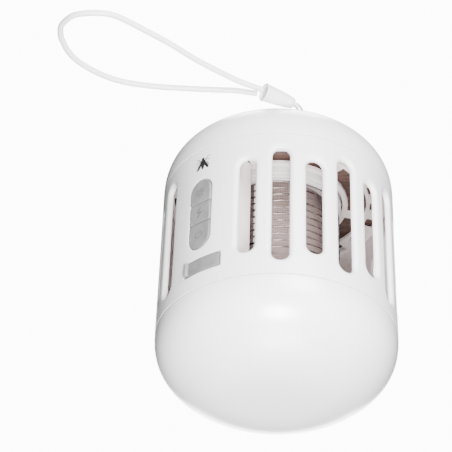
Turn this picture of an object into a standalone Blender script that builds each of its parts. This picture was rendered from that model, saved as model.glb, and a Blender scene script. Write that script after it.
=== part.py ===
"""Portable bug-zapper lantern: a slotted cage round a high-voltage wire grid, with a light diffuser
below, a domed cap above, a control panel at the front left and a hanging strap on the cap.
Metres, +Z up along the lamp's axis, the origin in the middle of the diffuser's flat bottom."""

import math

import bmesh
import bpy
from mathutils import Matrix, Vector

MM = 0.001
GAP = 0.3  # between pieces that touch, in millimetres as every size below

# Outer shape
SEAM_LOW = 26.2  # diffuser to cage
SEAM_HIGH = 89.2  # cage to cap
CAGE_R_LOW, CAGE_R_HIGH = 45.0, 44.4
CAGE_WALL = 2.0
CUT_NEAR, CUT_FAR = 38.0, 50.0  # cutters of the cage run past both of its faces
DOME_DEPTH = 28.13  # depth of the full dome, of which the flat bottom cuts off the last part
CAP_HEIGHT = 25.5
SHELL_WALL = 1.8
ROUND = 44  # sides of the large turned pieces, two for each slot position

# Slots of the cage
SLOT_PITCH = 360 / 22
SLOT_TURN = 1.24
SLOT_WIDTH = 6.7
LONG_SLOT = (SEAM_LOW + 6.3, SEAM_LOW + 56.3)
SHORT_SLOT = (SEAM_LOW + 10.4, SEAM_LOW + 52.2)
PANEL_PLACES = (19, 20)  # slot positions that the control panel takes

# Control panel
PANEL_TURN = SLOT_TURN - 2.5 * SLOT_PITCH
KEY_WIDTH = 9.6
KEY_LOW, KEY_HIGH = SEAM_LOW + 17.5, SEAM_LOW + 48.3
KEY_SPLITS = (SEAM_LOW + 28.9, SEAM_LOW + 37.8)
KEY_FRONT, KEY_BACK = 44.8, 40.6
COVER_TURNS = (-48.0, -27.4)
COVER_Z = (SEAM_LOW + 6.8, SEAM_LOW + 12.7)
COVER_R = (43.9, 45.0)
COVER_HINGE = (45.1, COVER_TURNS[1] + 0.2)  # distance from the axis, and turn
PORT_Z = sum(COVER_Z) / 2
PORT_TURN = sum(COVER_TURNS) / 2
PORT_OPENING = (9.6, 3.8)  # width and height, wider on the left where the plug swings out
PLUG = (7.4, 2.5)
SOCKET_OUTER, SOCKET_INNER = (8.6, 3.4), (7.6, 2.4)
SOCKET_FRONT, PLUG_BACK = 41.5, 42.2  # distances from the axis
TAB_R = 46.2  # how far the cover's pull tab stands out
BOARD_FACE = 37.7  # distance of the key board's front from the axis
BOARD = 1.6  # thickness of every circuit board but the violet lamps'
HOUSING_HALF, HOUSING_WALL = 8.9, 1.2  # plan of the channel behind the panel
HOUSING_REACH = (27.0, 41.1)

# Wire grid
GRID_R = 23.4
WIRE = 0.6
WIRE_PITCH = 6.0
GRID_Z = (SEAM_LOW + 11.5, SEAM_LOW + 57.5)
COLLAR_Z = (SEAM_LOW + 59.2, SEAM_LOW + 67.0)
GRID_RIBS = 8
FORMER_R = (19.5, 24.4)
RIB_R = (20.0, 22.8)
FLOOR_Z = (SEAM_LOW + 4.4, SEAM_LOW + 5.8)
FLOOR_R = 42.4
BULKHEAD_Z = (SEAM_HIGH - 0.6, SEAM_HIGH + 0.7)
BULKHEAD_R = (25.0, 42.0)
WINDOWS, WINDOW_R, WINDOW_SPAN = 6, (27.0, 34.2), 53  # large windows of the bulkhead, span in degrees
FIRST_RIB = 42.1  # turn of one of the ribs between the large windows
SMALL_WINDOW_R, SMALL_WINDOW_SPAN = (35.6, 40.2), 9.2

# Cell, lamps and electronics
SLEEVE_R = (16.2, 17.2)
CELL_R = 9.15
CELL_Z = (SEAM_LOW + 7.6, SEAM_LOW + 72.6)
CELL_CAP_R, CELL_CAP = 3.2, 1.2
UV_BOARD_R, UV_LAMP_R = (9.9, 11.1), (11.4, 13.4)
DRIVER_Z = BULKHEAD_Z[1] + 1.2
DRIVER_R = (25.4, 40.2)
LAMP_BOARD_R, LAMP_CIRCLE_R = 36.0, 24.0
FLOOR_SCREWS_R, BOARD_SCREWS_R = 33.0, 37.0

# Strap
BAR_Z, BAR_R = 112.4, 1.2
STRAP_WAY = Vector((-0.75, -0.66, 0)).normalized()  # plan direction in which the strap lies
STRAP_SIDE = Vector((-STRAP_WAY.y, STRAP_WAY.x, 0))  # along the eyelet bar
CUP_R, CUP_DEPTH = 10.0, 6.2
STRING, CORD = 1.0, 2.2
CLAMP_ENDS = (Vector((-6.0, -40.1, 112.2)), Vector((5.9, -33.1, 112.2)))
STRING_ROUTE = [
    (7.5, -30.3, 112.6),
    (7.6, -27.3, 113.3),
    (4.0, -22.5, 114.2),
    (-2.0, -17.5, 114.9),
    (-6.5, -12.0, 115.3),
]
CORD_ROUTE = [
    (-6.6, -41.5, 112.2),
    (-14.9, -46.1, 112.1),
    (-23, -52, 112),
    (-31, -58.7, 111.7),
    (-40.2, -68, 111.1),
    (-48.9, -75.8, 110.5),
    (-56.8, -82.6, 109.9),
    (-61.6, -85.2, 109.6),
    (-67.6, -86.1, 109.1),
    (-73.4, -85.2, 108.8),
    (-76.9, -82.3, 108.6),
    (-78.9, -78.6, 108.6),
    (-79.2, -73, 108.7),
    (-78.8, -71.5, 108.8),
    (-77.8, -66.7, 109),
    (-75.4, -61.3, 109.3),
    (-71.9, -56.8, 109.6),
    (-66.7, -51.9, 110),
    (-61.1, -48.2, 110.4),
    (-54.8, -45.8, 110.7),
    (-45.6, -43.6, 111.2),
    (-34.9, -42.2, 111.7),
    (-24.7, -41.3, 112),
    (-16.4, -40.8, 112.1),
    (-8.5, -39.1, 112.2),
]


# ---------------------------------------------------------------- scene and materials
for old in list(bpy.data.objects):
    bpy.data.objects.remove(old, do_unlink=True)


def finish(name, colour, roughness, metallic=0.0):
    """A plain material of one colour."""
    made = bpy.data.materials.new(name)
    made.use_nodes = True
    shader = made.node_tree.nodes["Principled BSDF"]
    shader.inputs["Base Color"].default_value = (*colour, 1)
    shader.inputs["Roughness"].default_value = roughness
    shader.inputs["Metallic"].default_value = metallic
    return made


WHITE = finish("white_shell", (0.86, 0.86, 0.86), 0.32)
INNER_WHITE = finish("inner_white", (0.8, 0.76, 0.76), 0.4)
FROSTED = finish("frosted_diffuser", (0.88, 0.88, 0.88), 0.25)
GREY_RUBBER = finish("grey_rubber", (0.5, 0.5, 0.5), 0.5)
SILICONE = finish("key_silicone", (0.52, 0.52, 0.52), 0.42)
SLEEVE = finish("uv_sleeve", (0.55, 0.42, 0.4), 0.35)
STEEL = finish("steel", (0.62, 0.6, 0.58), 0.3, 1.0)
WIRE_STEEL = finish("grid_wire", (0.4, 0.37, 0.36), 0.3, 1.0)
BROWN_BOARD = finish("brown_board", (0.2, 0.11, 0.08), 0.5)
GREEN_BOARD = finish("green_board", (0.03, 0.16, 0.07), 0.4)
CELL_WRAP = finish("cell_wrap", (0.1, 0.2, 0.45), 0.35)
BLACK = finish("black_moulding", (0.03, 0.03, 0.03), 0.45)
LED_YELLOW = finish("led_phosphor", (0.85, 0.75, 0.35), 0.3)
UV_LED = finish("uv_led_body", (0.45, 0.35, 0.75), 0.25)
CORD_WHITE = finish("strap_white", (0.88, 0.88, 0.88), 0.35)


# ---------------------------------------------------------------- ways of making a shape
def add(name, mesh, material, origin=(0, 0, 0)):
    """An object of a mesh given in millimetres in the lamp's frame, with its origin at the given point."""
    mesh.transform(Matrix.Translation(-Vector(origin)))
    mesh.transform(Matrix.Scale(MM, 4))
    body = bpy.data.objects.new(name, mesh)
    body.location = Vector(origin) * MM
    body.data.materials.append(material)
    bpy.context.collection.objects.link(body)
    return body


def closed(shape, name, sharp=35):
    """The mesh of a bmesh, with its faces turned outwards and its round sides smooth."""
    bmesh.ops.remove_doubles(shape, verts=shape.verts, dist=1e-4)
    bmesh.ops.recalc_face_normals(shape, faces=shape.faces)
    mesh = bpy.data.meshes.new(name)
    shape.to_mesh(mesh)
    shape.free()
    mesh.shade_smooth()
    mesh.set_sharp_from_angle(angle=math.radians(sharp))
    return mesh


def turned_mesh(outline, sides=ROUND, start=0.0, name="turned"):
    """A closed outline of (radius, height) points turned about the lamp's axis."""
    shape = bmesh.new()
    rings = []
    for k in range(sides):
        a = math.radians(start) + 2 * math.pi * k / sides
        rings.append([shape.verts.new((r * math.sin(a), -r * math.cos(a), z)) for r, z in outline])
    for k in range(sides):
        here, there = rings[k], rings[(k + 1) % sides]
        for i in range(len(outline)):
            j = (i + 1) % len(outline)
            corners = [here[i], here[j], there[j], there[i]]
            if outline[i][0] == 0 and outline[j][0] == 0:
                continue
            if outline[i][0] == 0:
                corners = [here[i], here[j], there[j]]
            if outline[j][0] == 0:
                corners = [here[i], here[j], there[i]]
            shape.faces.new(corners)
    return closed(shape, name)


def prism_mesh(outline, near, far, turn=0.0, name="prism"):
    """An outline of (across, height) points, extruded outwards between two distances from the axis
    in the direction that the turn gives: 0 is the front, and positive goes to the right."""
    a = math.radians(turn)
    out, across = Vector((math.sin(a), -math.cos(a), 0)), Vector((math.cos(a), math.sin(a), 0))
    shape = bmesh.new()
    rows = []
    for reach in (near, far):
        rows.append([shape.verts.new(out * reach + across * u + Vector((0, 0, z))) for u, z in outline])
    shape.faces.new(rows[0])
    shape.faces.new(rows[1])
    for i in range(len(outline)):
        j = (i + 1) % len(outline)
        shape.faces.new([rows[0][i], rows[0][j], rows[1][j], rows[1][i]])
    return closed(shape, name)


def upright_mesh(outline, low, high, name="upright"):
    """An outline of (x, y) points extruded between two heights."""
    shape = bmesh.new()
    rows = [[shape.verts.new((x, y, z)) for x, y in outline] for z in (low, high)]
    shape.faces.new(rows[0])
    shape.faces.new(rows[1])
    for i in range(len(outline)):
        j = (i + 1) % len(outline)
        shape.faces.new([rows[0][i], rows[0][j], rows[1][j], rows[1][i]])
    return closed(shape, name)


def rectangle(width, low, high, middle=0.0):
    """An upright rectangle of (across, height) points."""
    return [
        (middle - width / 2, low),
        (middle + width / 2, low),
        (middle + width / 2, high),
        (middle - width / 2, high),
    ]


def capsule(width, low, high, round_low=True, round_high=True, steps=6):
    """An upright outline whose ends are half circles, or square where it isn't round."""
    r = width / 2
    points = []
    for rounded, z, first in ((round_high, high - r, 0), (round_low, low + r, math.pi)):
        if rounded:
            turns = [first + math.pi * i / steps for i in range(steps + 1)]
            points += [(r * math.cos(a), z + r * math.sin(a)) for a in turns]
        else:
            end = high if first == 0 else low
            side = 1 if first == 0 else -1
            points += [(side * r, end), (-side * r, end)]
    return points


def circle(radius, sides, middle=(0.0, 0.0)):
    """Points round a circle."""
    turns = [2 * math.pi * i / sides for i in range(sides)]
    return [(middle[0] + radius * math.cos(a), middle[1] + radius * math.sin(a)) for a in turns]


def sector(inner, outer, first, last, steps):
    """The plan outline of a ring's part between two turns in degrees."""
    turns = [math.radians(first + (last - first) * i / steps) for i in range(steps + 1)]
    points = [(outer * math.sin(a), -outer * math.cos(a)) for a in turns]
    return points + [(inner * math.sin(a), -inner * math.cos(a)) for a in reversed(turns)]


def joined(meshes, name):
    """One mesh of several bodies, for a cutter or as the start of a union."""
    shape = bmesh.new()
    for mesh in meshes:
        shape.from_mesh(mesh)
        bpy.data.meshes.remove(mesh)
    mesh = bpy.data.meshes.new(name)
    shape.to_mesh(mesh)
    shape.free()
    return mesh


def combine(body, other_mesh, operation):
    """A Boolean modifier with a hidden cutter, or a hidden second piece for a union."""
    tool = add(f"{body.name}_{operation.lower()}_{len(body.modifiers)}", other_mesh, WHITE)
    tool.hide_render = True
    tool.display_type = "WIRE"
    step = body.modifiers.new(operation.title(), "BOOLEAN")
    step.operation = operation
    step.object = tool
    step.solver = "EXACT"
    return tool


def tube(name, points, thickness, material, origin, sides=2):
    """A curve with a round section through the points."""
    curve = bpy.data.curves.new(name, "CURVE")
    curve.dimensions = "3D"
    curve.bevel_depth = thickness / 2 * MM
    curve.bevel_resolution = sides
    curve.use_fill_caps = True
    line = curve.splines.new("POLY")
    line.points.add(len(points) - 1)
    for place, point in zip(line.points, points):
        place.co = (*((Vector(point) - Vector(origin)) * MM), 1)
    body = bpy.data.objects.new(name, curve)
    body.location = Vector(origin) * MM
    curve.materials.append(material)
    bpy.context.collection.objects.link(body)
    return body


def smooth_line(route, count):
    """Points at even steps along a Catmull-Rom curve through the route's own points."""
    route = [Vector(p) for p in route]
    ends = [2 * route[0] - route[1], *route, 2 * route[-1] - route[-2]]
    fine = []
    for k in range(1, len(ends) - 2):
        a, b, c, d = ends[k - 1 : k + 3]
        for i in range(12):
            t = i / 12
            bend = (2 * a - 5 * b + 4 * c - d) * t**2 + (3 * b - a - 3 * c + d) * t**3
            fine.append(0.5 * (2 * b + (c - a) * t + bend))
    fine.append(route[-1])
    along = [0.0]
    for p, q in zip(fine, fine[1:]):
        along.append(along[-1] + (q - p).length)
    points, k = [], 0
    for i in range(count):
        want = along[-1] * i / (count - 1)
        while k < len(fine) - 2 and along[k + 1] < want:
            k += 1
        t = (want - along[k]) / (along[k + 1] - along[k])
        points.append(fine[k].lerp(fine[k + 1], min(1.0, t)))
    return points


def direction(turn):
    """The level direction that a turn in degrees gives: 0 is the front, and positive goes to the right."""
    a = math.radians(turn)
    return Vector((math.sin(a), -math.cos(a), 0))


# ---------------------------------------------------------------- cage
def cage_radius(z):
    """Outer radius of the cage at a height."""
    share = (z - SEAM_LOW) / (SEAM_HIGH - SEAM_LOW)
    return CAGE_R_LOW + (CAGE_R_HIGH - CAGE_R_LOW) * share


def make_cage():
    """The moulded cage: a slightly tapered tube with long and short slots in turn, the capsule
    opening for the keys, the recess for the port cover and the port's opening."""
    low, high = SEAM_LOW + GAP / 2, SEAM_HIGH - GAP / 2
    outline = [
        (cage_radius(low), low),
        (cage_radius(high), high),
        (cage_radius(high) - CAGE_WALL, high),
        (cage_radius(low) - CAGE_WALL, low),
    ]
    cage = add("cage_shell", turned_mesh(outline, start=SLOT_TURN), WHITE)
    cuts = []
    for place in range(22):
        if place not in PANEL_PLACES:
            low, high = LONG_SLOT if place % 2 == 0 else SHORT_SLOT
            turn = SLOT_TURN + place * SLOT_PITCH
            cuts.append(prism_mesh(capsule(SLOT_WIDTH, low, high), CUT_NEAR, CUT_FAR, turn))
    keys = capsule(KEY_WIDTH + 2 * GAP, KEY_LOW - GAP, KEY_HIGH + GAP)
    cuts.append(prism_mesh(keys, CUT_NEAR, CUT_FAR, PANEL_TURN))
    recess = sector(COVER_R[0] - GAP, CUT_FAR, COVER_TURNS[0] - 0.5, COVER_TURNS[1] + 0.6, 6)
    cuts.append(upright_mesh(recess, COVER_Z[0] - GAP, COVER_Z[1] + GAP))
    combine(cage, joined(cuts, "cage_cuts"), "DIFFERENCE")
    width, height = PORT_OPENING
    port = rectangle(width, PORT_Z - height / 2, PORT_Z + height / 2, -0.4)
    combine(cage, prism_mesh(port, CUT_NEAR, CUT_FAR, PORT_TURN), "DIFFERENCE")


# ---------------------------------------------------------------- cap
def cap_outline(height):
    """Outer radius of the cap at a height over its seam."""
    return CAGE_R_HIGH * (1 - (height / CAP_HEIGHT) ** 2.57) ** (1 / 2.74)


def make_cap():
    """The domed cap, a shell open below, with a round cup in its top for the strap's eyelet."""
    steps = 9
    outer = []
    for i in range(steps + 1):
        height = CAP_HEIGHT * math.sin(math.pi / 2 * i / steps)
        radius = cap_outline(height) if i < steps else 0
        if radius > CUP_R + 1:
            outer.append((radius, SEAM_HIGH + height))
    outer[0] = (CAGE_R_HIGH, SEAM_HIGH + GAP / 2)
    top = SEAM_HIGH + CAP_HEIGHT
    outer.append((CUP_R + 3, top - 0.15))
    outer += [(CUP_R + 0.6, top), (CUP_R, top - 0.6), (CUP_R, top - CUP_DEPTH), (0, top - CUP_DEPTH)]
    inner = [(0, top - CUP_DEPTH - SHELL_WALL), (CUP_R + SHELL_WALL, top - CUP_DEPTH - SHELL_WALL)]
    inner.append((CUP_R + SHELL_WALL, top - 2.1))
    for radius, z in reversed(outer[: steps - 1]):
        height = (z - SEAM_HIGH) * (1 - SHELL_WALL / CAP_HEIGHT)
        if radius - SHELL_WALL > CUP_R + SHELL_WALL + 1:
            inner.append((radius - SHELL_WALL, SEAM_HIGH + height))
    inner[-1] = (CAGE_R_HIGH - SHELL_WALL, SEAM_HIGH + GAP / 2)
    add("top_cap", turned_mesh(outer + inner), WHITE)
    turn = math.degrees(math.atan2(STRAP_SIDE.x, -STRAP_SIDE.y))
    bar = prism_mesh(circle(BAR_R, 10, (0, BAR_Z)), -CUP_R + GAP, CUP_R - GAP, turn)
    add("eyelet_bar", bar, STEEL, (0, 0, BAR_Z))
    low, high = SEAM_HIGH + 1.1, SEAM_HIGH + 2.1
    add("cap_seal", turned_mesh([(41.6, low), (42.1, low), (42.1, high), (41.6, high)]), GREY_RUBBER)


# ---------------------------------------------------------------- diffuser
def dome_radius(depth):
    """Outer radius of the diffuser at a depth under its seam."""
    return CAGE_R_LOW * math.sqrt(max(0.0, 1 - (depth / DOME_DEPTH) ** 2.44))


def make_diffuser():
    """The frosted bowl, whose spigot screws into the cage's foot by half a turn of coarse thread."""
    steps = 10
    top = SEAM_LOW - GAP / 2
    outer = []
    for i in range(steps + 1):
        depth = SEAM_LOW * math.sin(math.pi / 2 * i / steps) ** 0.9
        outer.append((dome_radius(depth) if i else CAGE_R_LOW, top - depth * top / SEAM_LOW))
    inner = []
    for radius, z in reversed(outer[1:]):
        inner.append((max(0.0, radius - SHELL_WALL), max(z, 0) * (1 - SHELL_WALL / SEAM_LOW) + SHELL_WALL))
    spigot = [(39.0, top - 1.0), (39.0, SEAM_LOW + 3.6), (40.8, SEAM_LOW + 3.6), (40.8, SEAM_LOW + 1.9)]
    spigot += [(42.4, SEAM_LOW + 1.6), (42.4, top)]
    outline = [(0, 0), (0, SHELL_WALL)] + [p for p in inner if p[1] < top - 3] + spigot + outer
    add("diffuser", turned_mesh(outline), FROSTED)
    low, high = SEAM_LOW + 2.2, SEAM_LOW + 3.4
    add("diffuser_seal", turned_mesh([(41.1, low), (42.5, low), (42.5, high), (41.1, high)]), GREY_RUBBER)


# ---------------------------------------------------------------- killing chamber
def make_chamber():
    """The floor and the bulkhead that close the chamber, and the ribbed former of the wire grid."""
    low, high = FLOOR_Z
    floor = [(0, low), (FLOOR_R, low), (FLOOR_R, high), (0, high)]
    add("chamber_floor", turned_mesh(floor), INNER_WHITE)
    low, high = BULKHEAD_Z
    inner, outer = BULKHEAD_R
    disc = turned_mesh([(inner, low), (outer, low), (outer, high), (inner, high)])
    bulkhead = add("top_bulkhead", disc, INNER_WHITE)
    windows = []
    for k in range(WINDOWS):
        first = FIRST_RIB + 360 / WINDOWS * (k + 0.5) - WINDOW_SPAN / 2
        windows.append(upright_mesh(sector(*WINDOW_R, first, first + WINDOW_SPAN, 6), low - 1, high + 1))
    for k in range(22):
        first = SLOT_TURN + SLOT_PITCH * (k + 0.5) - SMALL_WINDOW_SPAN / 2
        small = sector(*SMALL_WINDOW_R, first, first + SMALL_WINDOW_SPAN, 1)
        windows.append(upright_mesh(small, low - 1, high + 1))
    combine(bulkhead, joined(windows, "bulkhead_windows"), "DIFFERENCE")

    (inner, outer), (low, high) = FORMER_R, (FLOOR_Z[1] + GAP, FLOOR_Z[1] + 4.2)
    foot = turned_mesh([(inner, low), (outer, low), (outer, high), (inner, high)], 32)
    frame = add("grid_former", foot, INNER_WHITE)
    low, high = COLLAR_Z
    collar = [(inner, low), (RIB_R[1], low - 2.0), (outer, low), (outer, high), (inner, high)]
    combine(frame, turned_mesh(collar, 32), "UNION")
    ribs = []
    for k in range(GRID_RIBS):
        turn = SLOT_TURN + 360 / GRID_RIBS * (k + 0.5)
        ribs.append(prism_mesh(rectangle(1.6, FLOOR_Z[1] + 2, low + 2), *RIB_R, turn))
    combine(frame, joined(ribs, "ribs"), "UNION")


def make_grid_wires():
    """Two bare steel helices of the same pitch, half a turn apart, which carry the high voltage."""
    turns = (GRID_Z[1] - GRID_Z[0]) / WIRE_PITCH
    steps = round(turns * 24)
    for name, phase in (("hv_wire_a", 0.0), ("hv_wire_b", math.pi)):
        points = []
        for i in range(steps + 1):
            a = phase + 2 * math.pi * turns * i / steps
            z = GRID_Z[0] + (GRID_Z[1] - GRID_Z[0]) * i / steps
            points.append((GRID_R * math.sin(a), -GRID_R * math.cos(a), z))
        tube(name, points, WIRE, WIRE_STEEL, (0, 0, 0), sides=0)


# ---------------------------------------------------------------- light and power inside the grid
def make_core():
    """The lithium cell stands in the middle, with the violet lamps' strips beside it in a sleeve."""
    (inner, outer), low, high = SLEEVE_R, FLOOR_Z[1] + GAP, COLLAR_Z[1] - 1
    sleeve = turned_mesh([(inner, low), (outer, low), (outer, high), (inner, high)], 32)
    add("light_sleeve", sleeve, SLEEVE)
    low, high = CELL_Z
    tip = high + CELL_CAP
    cell = [(0, low), (CELL_R, low), (CELL_R, high), (CELL_CAP_R, high), (CELL_CAP_R, tip), (0, tip)]
    add("battery_cell", turned_mesh(cell, 24), CELL_WRAP)
    low = FLOOR_Z[1] + GAP
    add("battery_contact_low", turned_mesh([(0, low), (6, low), (6, low + 1), (0, low + 1)], 16), STEEL)
    low, high = tip + GAP, tip + GAP + 0.8
    add("battery_contact_high", turned_mesh([(0, low), (5, low), (5, high), (0, high)], 16), STEEL)
    for k, turn in enumerate((SLOT_TURN, SLOT_TURN + 180)):
        strip = prism_mesh(rectangle(7, GRID_Z[0] - 2, GRID_Z[1] + 2), *UV_BOARD_R, turn)
        add(f"uv_board_{k + 1}", strip, GREEN_BOARD)
        for i, z in enumerate((GRID_Z[0] + 12, GRID_Z[1] - 12)):
            lamp = prism_mesh(rectangle(5, z - 2.5, z + 2.5), *UV_LAMP_R, turn)
            add(f"uv_led_{2 * k + i + 1}", lamp, UV_LED)


# ---------------------------------------------------------------- electronics
def make_electronics():
    """The driver board over the bulkhead, and the key board in its housing behind the panel."""
    (inner, outer), low, high = DRIVER_R, DRIVER_Z, DRIVER_Z + BOARD
    board = [(inner, low), (outer, low), (outer, high), (inner, high)]
    add("driver_board", turned_mesh(board), BROWN_BOARD)
    top = high + GAP
    add("step_up_transformer", prism_mesh(rectangle(12, top, top + 9), 26, 35, 20), BLACK)
    for k, turn in enumerate((150, 215)):
        x, y, _ = direction(turn) * 31.5
        add(f"hv_capacitor_{k + 1}", upright_mesh(circle(3.6, 14, (x, y)), top, top + 8), CELL_WRAP)
    add("charge_controller", prism_mesh(rectangle(6, top, top + 1.4), 30, 35, 270), BLACK)

    low, high = FLOOR_Z[1] + GAP, BULKHEAD_Z[0] - GAP
    (near, far), half, inside = HOUSING_REACH, HOUSING_HALF, HOUSING_HALF - HOUSING_WALL
    walls = [(-half, far), (-half, near), (half, near), (half, far)]
    walls += [(inside, far), (inside, near + HOUSING_WALL), (-inside, near + HOUSING_WALL), (-inside, far)]
    out, across = direction(PANEL_TURN), direction(PANEL_TURN + 90)
    plan = [tuple((out * reach + across * u)[:2]) for u, reach in walls]
    add("board_housing", upright_mesh(plan, low, high), INNER_WHITE)
    board = rectangle(14.6, FLOOR_Z[1] + 1, KEY_HIGH + 3)
    add("key_board", prism_mesh(board, BOARD_FACE - BOARD, BOARD_FACE, PANEL_TURN), GREEN_BOARD)


def key_heights():
    """The lower and upper end of each key, from the lowest up."""
    edges = (KEY_LOW, *KEY_SPLITS, KEY_HIGH)
    return list(zip(edges, edges[1:]))


def make_keys():
    """Three silicone keys in one capsule, each with a flange behind the cage and a switch behind it."""
    names = ("power_key", "zapper_key", "lamp_key")
    for k, (low, high) in enumerate(key_heights()):
        low += GAP / 2 if k else 0
        high -= GAP / 2 if k < 2 else 0
        middle = direction(PANEL_TURN) * KEY_BACK + Vector((0, 0, (low + high) / 2))
        face = prism_mesh(capsule(KEY_WIDTH, low, high, k == 0, k == 2), KEY_BACK, KEY_FRONT, PANEL_TURN)
        key = add(names[k], face, SILICONE, middle)
        flange = rectangle(KEY_WIDTH + 2.2, low + 0.4 + (k == 0) * 1.6, high - 0.4 - (k == 2) * 1.6)
        combine(key, prism_mesh(flange, KEY_BACK, KEY_BACK + 1.2, PANEL_TURN), "UNION")
        z = (low + high) / 2
        back = BOARD_FACE + GAP
        switch = prism_mesh(rectangle(5, z - 2.5, z + 2.5), back, back + 1.6, PANEL_TURN)
        add(f"key_switch_{k + 1}", switch, BLACK)


def make_port():
    """The charging socket on the key board, and the rubber cover with its plug and pull tab."""

    def block(size, near, far):
        width, height = size
        outline = rectangle(width, PORT_Z - height / 2, PORT_Z + height / 2)
        return prism_mesh(outline, near, far, PORT_TURN)

    socket = add("usb_socket", block(SOCKET_OUTER, BOARD_FACE + GAP, SOCKET_FRONT), STEEL)
    combine(socket, block(SOCKET_INNER, BOARD_FACE + 1.5, SOCKET_FRONT + 1), "DIFFERENCE")

    hinge_r, hinge_turn = COVER_HINGE
    hinge = direction(hinge_turn) * hinge_r + Vector((0, 0, PORT_Z))
    plate = upright_mesh(sector(*COVER_R, *COVER_TURNS, 8), *COVER_Z)
    cover = add("port_cover", plate, GREY_RUBBER, hinge)
    combine(cover, block(PLUG, PLUG_BACK, COVER_R[0] + 0.3), "UNION")
    tab = sector(COVER_R[1] - 0.4, TAB_R, COVER_TURNS[0] + 0.3, COVER_TURNS[0] + 2.6, 1)
    combine(cover, upright_mesh(tab, COVER_Z[0] + 0.5, COVER_Z[1] - 0.5), "UNION")


def make_lamp_board():
    """The round board under the chamber's floor, with eight white lamps that shine into the bowl."""
    high = FLOOR_Z[0] - GAP
    low, radius = high - BOARD, LAMP_BOARD_R
    add("lamp_board", turned_mesh([(0, low), (radius, low), (radius, high), (0, high)], 32), GREEN_BOARD)
    for k in range(8):
        x, y, _ = direction(22.5 + 45 * k) * LAMP_CIRCLE_R
        square = [(x + 1.75 * i, y + 1.75 * j) for i, j in ((-1, -1), (1, -1), (1, 1), (-1, 1))]
        add(f"white_led_{k + 1}", upright_mesh(square, low - GAP - 0.9, low - GAP), LED_YELLOW)


# ---------------------------------------------------------------- strap
def make_strap():
    """The string round the eyelet bar, the bell-shaped clamp and the cord's loop."""
    pivot = (0, 0, BAR_Z)
    wide, narrow = CLAMP_ENDS
    axis = (narrow - wide).normalized()
    length = (narrow - wide).length
    bell = [(0, 0), (3.4, 0), (3.6, 0.5), (3.3, 3), (2.9, 7), (2.55, 10.4), (2.1, 12.4), (1.2, 13.5)]
    bell.append((0, length))
    shape = turned_mesh([(r, length - z) for r, z in bell], 16)
    turn = Vector((0, 0, 1)).rotation_difference(-axis).to_matrix().to_4x4()
    shape.transform(Matrix.Translation(narrow) @ turn)
    add("strap_clamp", shape, CORD_WHITE, pivot)

    side = axis.cross(Vector((0, 0, 1)))
    first = narrow + axis * (GAP + 0.1)
    apart = 0.75  # half the distance between the two strands
    radius = BAR_R + STRING / 2 + 0.35
    strands = []
    for sign in (1, -1):
        strand = [first + side * apart * sign]
        previous = first
        for point in STRING_ROUTE:
            way = (Vector(point) - previous).normalized()
            strand.append(Vector(point) + way.cross(Vector((0, 0, 1))) * apart * sign)
            previous = Vector(point)
        strands.append(strand)
    bar = Vector(pivot)

    def beside(way, up, along):
        """A point near the bar: towards the strap, upwards and along the bar."""
        return bar + STRAP_WAY * way + Vector((0, 0, up)) + STRAP_SIDE * along

    over = [beside(8.6, 3.2, -apart), beside(4.6, 3.0, -apart), beside(1.4, 2.2, -apart)]
    wrap = []
    for i in range(7):
        a = math.radians(100 + 28 * i)
        wrap.append(beside(radius * math.cos(a), radius * math.sin(a), apart * (i / 3 - 1)))
    under = [beside(3.2, -1.2, apart), beside(5.6, 0.9, apart), beside(8.4, 3.2, apart)]
    route = strands[1] + over + wrap + under + strands[0][::-1]
    tube("strap_string", smooth_line(route, 72), STRING, CORD_WHITE, pivot)
    tube("strap_cord", smooth_line(CORD_ROUTE, 76), CORD, CORD_WHITE, pivot)


# ---------------------------------------------------------------- screws
def make_screws():
    """Three screws hold the lamp board and the floor from below, and three hold the driver board."""
    for k in range(3):
        x, y, _ = direction(60 + 120 * k) * FLOOR_SCREWS_R
        high = FLOOR_Z[0] - GAP - BOARD - GAP
        head = upright_mesh(circle(2.4, 12, (x, y)), high - 1.5, high)
        add(f"floor_screw_{k + 1}", head, STEEL)
        x, y, _ = direction(75 + 120 * k) * BOARD_SCREWS_R
        low = DRIVER_Z + BOARD + GAP
        head = upright_mesh(circle(2.2, 12, (x, y)), low, low + 1.5)
        add(f"board_screw_{k + 1}", head, STEEL)


make_cage()
make_cap()
make_diffuser()
make_chamber()
make_grid_wires()
make_core()
make_electronics()
make_keys()
make_port()
make_lamp_board()
make_strap()
make_screws()
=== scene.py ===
"""Portable bug-zapper lantern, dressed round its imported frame: shells, grid, panel, strap and finishes."""

import math

import bmesh
import bpy
import numpy as np
from mathutils import Matrix, Vector


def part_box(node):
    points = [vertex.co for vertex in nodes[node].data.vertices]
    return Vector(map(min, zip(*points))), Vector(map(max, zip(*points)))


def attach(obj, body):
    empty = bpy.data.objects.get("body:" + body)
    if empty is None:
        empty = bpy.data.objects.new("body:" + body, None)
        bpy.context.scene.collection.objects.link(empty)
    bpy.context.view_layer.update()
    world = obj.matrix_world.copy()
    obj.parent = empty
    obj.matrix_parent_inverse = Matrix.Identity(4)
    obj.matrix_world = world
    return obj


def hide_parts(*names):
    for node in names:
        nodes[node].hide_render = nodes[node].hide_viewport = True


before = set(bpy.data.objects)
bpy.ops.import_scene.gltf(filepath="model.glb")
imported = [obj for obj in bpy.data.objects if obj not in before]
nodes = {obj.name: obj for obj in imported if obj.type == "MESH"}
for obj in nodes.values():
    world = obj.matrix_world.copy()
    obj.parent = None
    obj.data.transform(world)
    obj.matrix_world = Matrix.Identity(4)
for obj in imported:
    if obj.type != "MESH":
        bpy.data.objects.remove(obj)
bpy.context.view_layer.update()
MM = 0.001

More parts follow.
